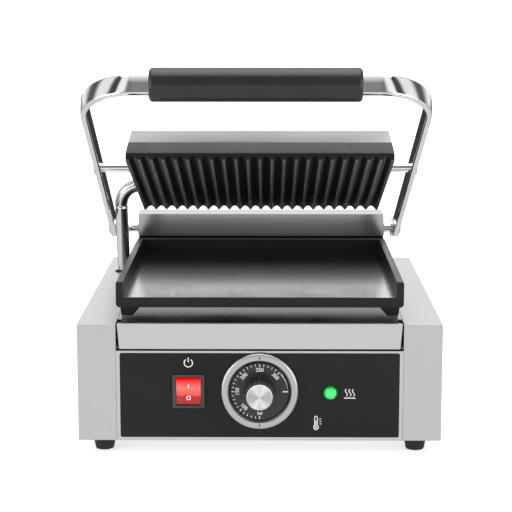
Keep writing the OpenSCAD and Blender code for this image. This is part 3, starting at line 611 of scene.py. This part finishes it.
def bail_rings():
    """The bar's sections, from the left arm's foot over the grip to the right one's."""
    left = half_bail(-1, shaft_lo.x, bail_lo.x)
    right = half_bail(1, shaft_hi.x, bail_hi.x)
    rings = []
    for outer, inner, half_width in left + right[::-1]:
        ring = []
        for depth, z in bar_section(half_width):
            p = outer + (inner - outer) * (depth / BAR_T)
            ring.append(Vector((p.x, 0, 0)) + hinge + arm * p.y + across * z)
        rings.append(ring)
    return rings


bail = make_piece("bent_handle_bar", *loft(bail_rings()), chrome, "polished")
bail.modifiers.new("normals", "WEIGHTED_NORMAL")
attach(bail, "lid_arms")
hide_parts("handle_bail")

# ---------------------------------------------------------------- conduit

PIPE_R, PIPE_BEND, LEAN = 5.75 * MM, 19 * MM, math.radians(16)
FOOT_LIFT, SUNK, TAIL = 1.6 * MM, 4 * MM, 8 * MM
RUN_STEPS, ELBOW_STEPS, TAIL_STEPS, PIPE_SIDES = 24, 32, 4, 48

elbow_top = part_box("conduit_upper")[1].z
grommet_lo, grommet_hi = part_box("conduit_grommet")
pipe_up = Vector((0, -math.sin(LEAN), math.cos(LEAN)))
pipe_in = Vector((1, 0, 0))
foot_mid = Vector(((grommet_lo.x + grommet_hi.x) / 2, (grommet_lo.y + grommet_hi.y) / 2,
                   grommet_lo.z + FOOT_LIFT))
rise = (elbow_top - PIPE_R - PIPE_BEND * math.cos(LEAN) - foot_mid.z) / math.cos(LEAN)
elbow = foot_mid + pipe_up * rise


def pipe(name, path):
    """A round chrome pipe along (point, direction) stations."""
    rings = []
    for p, d in path:
        side = Vector((0, 1, 0)) if abs(d.y) < 0.9 else Vector((1, 0, 0))
        u = side.cross(d).normalized()
        v = d.cross(u)
        rings.append([p + (u * math.cos(a) + v * math.sin(a)) * PIPE_R
                      for a in (2 * math.pi * k / PIPE_SIDES for k in range(PIPE_SIDES))])
    return make_piece(name, *loft(rings), chrome, "polished")


run_path = []
for i in range(RUN_STEPS + 1):
    share = i / RUN_STEPS
    run_path.append((foot_mid + pipe_up * (rise * share - SUNK * (1 - share)), pipe_up))
lower_pipe = pipe("conduit_run", run_path)
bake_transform(lower_pipe)
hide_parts("conduit_lower")

elbow_path = []
for i in range(ELBOW_STEPS + 1):
    a = math.pi / 2 * i / ELBOW_STEPS
    p = elbow + pipe_in * (PIPE_BEND * (1 - math.cos(a))) + pipe_up * (PIPE_BEND * math.sin(a))
    elbow_path.append((p, pipe_up * math.cos(a) + pipe_in * math.sin(a)))
bend_end = elbow_path[-1][0]
elbow_path += [(bend_end + pipe_in * (TAIL * i / TAIL_STEPS), pipe_in) for i in range(1, TAIL_STEPS + 1)]
upper_pipe = pipe("conduit_elbow", elbow_path)
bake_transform(upper_pipe)
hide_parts("conduit_upper")

# ---------------------------------------------------------------- dial's scale

PRINT_H = 0.06 * MM
DISC_SUNK = 1.2 * MM
TICKS, TICK_STEP, LONG_EVERY = 26, 9, 5
SCALE_START, NUMBER_STEP = 270, 45
NUMBER_SIZE, NUMBER_INSET = 4.2 * MM, 5.7 * MM

ring_lo, ring_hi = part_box("dial_bezel")
dial_mid = (ring_lo + ring_hi) / 2
dial_at = Vector((dial_mid.x, ring_lo.y + DISC_SUNK, dial_mid.z))
disc_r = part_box("temperature_dial")[1].x
tick_out = disc_r - 0.9 * MM
marks = []
for i in range(TICKS):
    a = math.radians(SCALE_START - TICK_STEP * i)
    long = i % LONG_EVERY == 0
    tick_in = disc_r - (3.3 if long else 2.7) * MM
    c, s = math.cos(a), math.sin(a)
    marks.append(bar(c * tick_in, s * tick_in, c * tick_out, s * tick_out, (0.6 if long else 0.46) * MM))
# The mark at the scale's end, and the tapering band up to it
marks.append(bar(disc_r - 5 * MM, 0, disc_r - 0.6 * MM, 0, 0.9 * MM))
marks.append(band(0, 0, tick_out - 0.6 * MM, tick_out, 41, 6, 20, 0.25))
stamp("dial_ticks", marks, dial_at, (1, 0, 0), (0, 0, 1), PRINT_H, "dial", white_print, "black_plastic")


def number_mesh(number):
    """Flat raised digits about their own middle, in the XY plane."""
    curve = bpy.data.curves.new("dial_number", "FONT")
    curve.body = number
    curve.size = NUMBER_SIZE
    curve.align_x = curve.align_y = "CENTER"
    curve.extrude = 0.03 * MM
    curve.offset = 0.07 * MM
    text = bpy.data.objects.new("dial_number_text", curve)
    scene.collection.objects.link(text)
    bpy.context.view_layer.update()
    mesh = bpy.data.meshes.new_from_object(text.evaluated_get(bpy.context.evaluated_depsgraph_get()))
    bpy.data.objects.remove(text)
    return mesh


for i, number in enumerate(("50", "100", "150", "200", "250", "300")):
    angle = math.radians(SCALE_START - NUMBER_STEP * i)
    # The two lowest numbers are turned half round, so that they read from outside the scale
    turn = angle - math.pi / 2 if i > 1 else angle + math.pi / 2
    place = dial_at + Vector((math.cos(angle), 0, math.sin(angle))) * (disc_r - NUMBER_INSET)
    mesh = number_mesh(number)
    mesh.transform(Matrix.Translation(place) @ Matrix.Rotation(math.pi / 2, 4, "X")
                   @ Matrix.Rotation(turn, 4, "Z"))
    mesh.materials.clear()
    mesh.materials.append(white_print)
    piece = bpy.data.objects.new("dial_number_" + number, mesh)
    scene.collection.objects.link(piece)
    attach(piece, "dial")

# Pointers on the fixed ring, at the top and the bottom
POINTER_HALF = 1.1 * MM
pointer_base = (disc_r + ring_hi.x) / 2 + 1.1 * MM
pointer_tip = (disc_r + ring_hi.x) / 2 - 1.2 * MM
pointers = [[(-POINTER_HALF, side * pointer_base), (POINTER_HALF, side * pointer_base),
             (0, side * pointer_tip)] for side in (1, -1)]
stamp("ring_pointers", pointers, (dial_mid.x, ring_lo.y, dial_mid.z), (1, 0, 0), (0, 0, 1), 0.04 * MM,
      "base", dark_print, "spun_aluminium")

# ---------------------------------------------------------------- symbols on the black face

face_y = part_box("control_fascia")[0].y
switch_lo, switch_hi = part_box("switch_housing")
switch_x = (switch_lo.x + switch_hi.x) / 2
STROKE = 0.75 * MM


def face_symbol(name, outlines, x, z):
    """White print on the black face, about a point of it."""
    stamp(name, outlines, (x, face_y, z), (1, 0, 0), (0, 0, 1), PRINT_H, "base", white_print,
          "black_enamel")


def wave(cx):
    """One upright wavy stroke of the heat symbol."""
    line = [(cx + 0.85 * MM * math.sin(2 * math.pi * t / 20), (-3 + 6 * t / 20) * MM) for t in range(21)]
    return [(x - STROKE / 2, y) for x, y in line] + [(x + STROKE / 2, y) for x, y in reversed(line)]


power = [band(0, 0, 2.9 * MM, 3.65 * MM, 125, 415, 40), bar(0, 0.4 * MM, 0, 4.3 * MM, STROKE)]
face_symbol("power_symbol", power, switch_x, switch_hi.z + 9.5 * MM)

BULB_Z, STEM_HALF, STEM_TOP = -3.4 * MM, 1.1 * MM, 4.6 * MM
thermometer = [band(0, BULB_Z, 1.5 * MM, 2.2 * MM, 120, 420, 32),
               bar(-STEM_HALF, -1.6 * MM, -STEM_HALF, STEM_TOP, 0.65 * MM),
               bar(STEM_HALF, -1.6 * MM, STEM_HALF, STEM_TOP, 0.65 * MM),
               band(0, STEM_TOP, 0.78 * MM, 1.42 * MM, 0, 180, 16),
               band(0, BULB_Z, 0.0, 0.95 * MM, 0, 359, 24),
               bar(0, -3.0 * MM, 0, 2.2 * MM, 0.7 * MM)]
thermometer += [bar(2.6 * MM, z * MM, 4.2 * MM, z * MM, 0.55 * MM) for z in (-0.6, 1.4, 3.4)]
face_symbol("thermometer_symbol", thermometer, dial_mid.x + 45 * MM, dial_mid.z - 26.5 * MM)

heat = [wave(x * MM) for x in (-2.8, 0, 2.8)]
heat.append(bar(-4.6 * MM, -4.4 * MM, 4.6 * MM, -4.4 * MM, STROKE))
face_symbol("heat_symbol", heat, lamp_mid.x + 15.5 * MM, lamp_mid.z)

# Marks on the rocker, in the plane of each of its two faces
ROCKER_HALF, ROCKER_DIP, ROCKER_FRONT, ROCKER_PIVOT = 10.15 * MM, 1.9 * MM, 2.7 * MM, 4.4 * MM
PRESSED = math.radians(8)
SLOPE = math.atan(ROCKER_DIP / ROCKER_HALF)
CLEAR = 0.02 * MM
pivot = Vector((switch_x, switch_lo.y + ROCKER_PIVOT, (switch_lo.z + switch_hi.z) / 2))


def on_rocker(back, height):
    """A point of the rocker's section, turned with it."""
    return pivot + Vector((0, back * math.cos(PRESSED) - height * math.sin(PRESSED),
                           back * math.sin(PRESSED) + height * math.cos(PRESSED)))


for name, half, outlines in (
        ("rocker_on_mark", 1, [bar(0, -1.9 * MM, 0, 1.9 * MM, STROKE)]),
        ("rocker_off_mark", -1, ring_halves(0, 0, 1.15 * MM, 1.8 * MM))):
    middle = on_rocker(-ROCKER_FRONT - ROCKER_DIP / 2 - CLEAR, half * ROCKER_HALF / 2)
    lean = PRESSED + half * SLOPE
    stamp(name, outlines, middle, (1, 0, 0), (0, -math.sin(lean), math.cos(lean)), 0.08 * MM, "rocker",
          white_print, "red_rocker")

# ---------------------------------------------------------------- floor and light

FLOOR_HALF, FLOOR_FRONT, SWEEP_AT, SWEEP_R, SWEEP_TOP = 3.2, -3.0, 1.4, 0.8, 3.4
WALL_R, WALL_FOOT, WALL_TOP, WALL_SIDES = 9.0, -0.4, 7.0, 48

paper_mat = finish("paper_floor", grey(0.80), grey(0.84), (0.7, 0.9), 0.0, (60, 60, 60), 3, 0.02, 0.0002, 2)
paper_shader = paper_mat.node_tree.nodes["Principled BSDF"]
paper_shader.inputs["Emission Color"].default_value = (1, 1, 1, 1)
paper_shader.inputs["Emission Strength"].default_value = 0.62

sweep = [(FLOOR_FRONT, 0.0), (SWEEP_AT, 0.0)]
for i in range(1, 13):
    a = math.pi / 2 * i / 12
    sweep.append((SWEEP_AT + SWEEP_R * math.sin(a), SWEEP_R - SWEEP_R * math.cos(a)))
sweep.append((SWEEP_AT + SWEEP_R, SWEEP_TOP))
verts = [(x, y, z) for y, z in sweep for x in (-FLOOR_HALF, FLOOR_HALF)]
faces = [(2 * i, 2 * i + 1, 2 * i + 3, 2 * i + 2) for i in range(len(sweep) - 1)]
floor = make_piece("paper_sweep", verts, faces, paper_mat, "stainless")

# A far round wall of the same paper, which only the camera sees
wall_turns = [2 * math.pi * k / WALL_SIDES for k in range(WALL_SIDES)]
wall_rings = [[(WALL_R * math.cos(a), WALL_R * math.sin(a), z) for a in wall_turns]
              for z in (WALL_FOOT, WALL_TOP)]
wall = make_piece("paper_wall", *loft(wall_rings), paper_mat, "stainless")
wall.visible_diffuse = False
wall.visible_shadow = False
for paper in (floor, wall):
    paper.visible_glossy = False


def softbox(name, place, size, power, target=(0, 0, 0.12)):
    """A rectangular light of a size in metres and a power in watts, facing a target."""
    light = bpy.data.lights.new(name, "AREA")
    light.shape = "RECTANGLE"
    light.size, light.size_y = size
    light.energy = power
    lamp = bpy.data.objects.new(name, light)
    lamp.location = place
    lamp.rotation_euler = (Vector(target) - Vector(place)).to_track_quat("-Z", "Y").to_euler()
    scene.collection.objects.link(lamp)


softbox("top_light", (0, 0.1, 1.9), (1.8, 1.6), 20)
softbox("left_light", (-1.5, -1.0, 0.45), (1.5, 1.3), 15)
softbox("right_light", (1.5, -1.0, 0.45), (1.5, 1.3), 13)


def studio_world():
    """A soft room: pale above and in front, with darker stretches that give polished metal its bands.
    Each stop is (share of the half turn from front to back, brightness)."""
    world = bpy.data.worlds.new("studio")
    world.use_nodes = True
    tree = world.node_tree
    coord = add(tree, "ShaderNodeTexCoord")
    split = add(tree, "ShaderNodeSeparateXYZ")
    tree.links.new(coord.outputs["Generated"], split.inputs["Vector"])
    x, y, z = (split.outputs[i] for i in range(3))
    round_y = math_node(tree, "ARCTAN2", math_node(tree, "ABSOLUTE", x), math_node(tree, "MULTIPLY", y, -1.0))
    turn = math_node(tree, "DIVIDE", round_y, math.pi)

    def bands(stops):
        return colour_ramp(tree, turn, [(at, grey(value)) for at, value in stops])

    upper = bands([(0.0, 0.30), (0.13, 0.20), (0.19, 1.1), (0.27, 1.1), (0.30, 0.06), (0.37, 0.08),
                   (0.42, 1.0), (0.53, 1.0), (0.59, 0.12), (0.66, 0.12), (0.76, 1.05), (1.0, 1.12)])
    lower = bands([(0.0, 1.12), (0.22, 1.05), (0.33, 0.30), (0.40, 0.30), (0.50, 0.85), (0.58, 0.8),
                   (0.70, 0.40), (0.84, 0.40), (0.91, 0.05), (1.0, 0.04)])
    level = mix_colours(tree, ramp(tree, z, -0.04, 0.04), lower, upper)
    with_floor = mix_colours(tree, ramp(tree, z, -0.48, -0.30, 1.0, 0.0), level, grey(0.8))
    with_sky = mix_colours(tree, ramp(tree, z, 0.86, 0.94), with_floor, grey(1.15))
    tree.links.new(with_sky, tree.nodes["Background"].inputs["Color"])
    scene.world = world


studio_world()
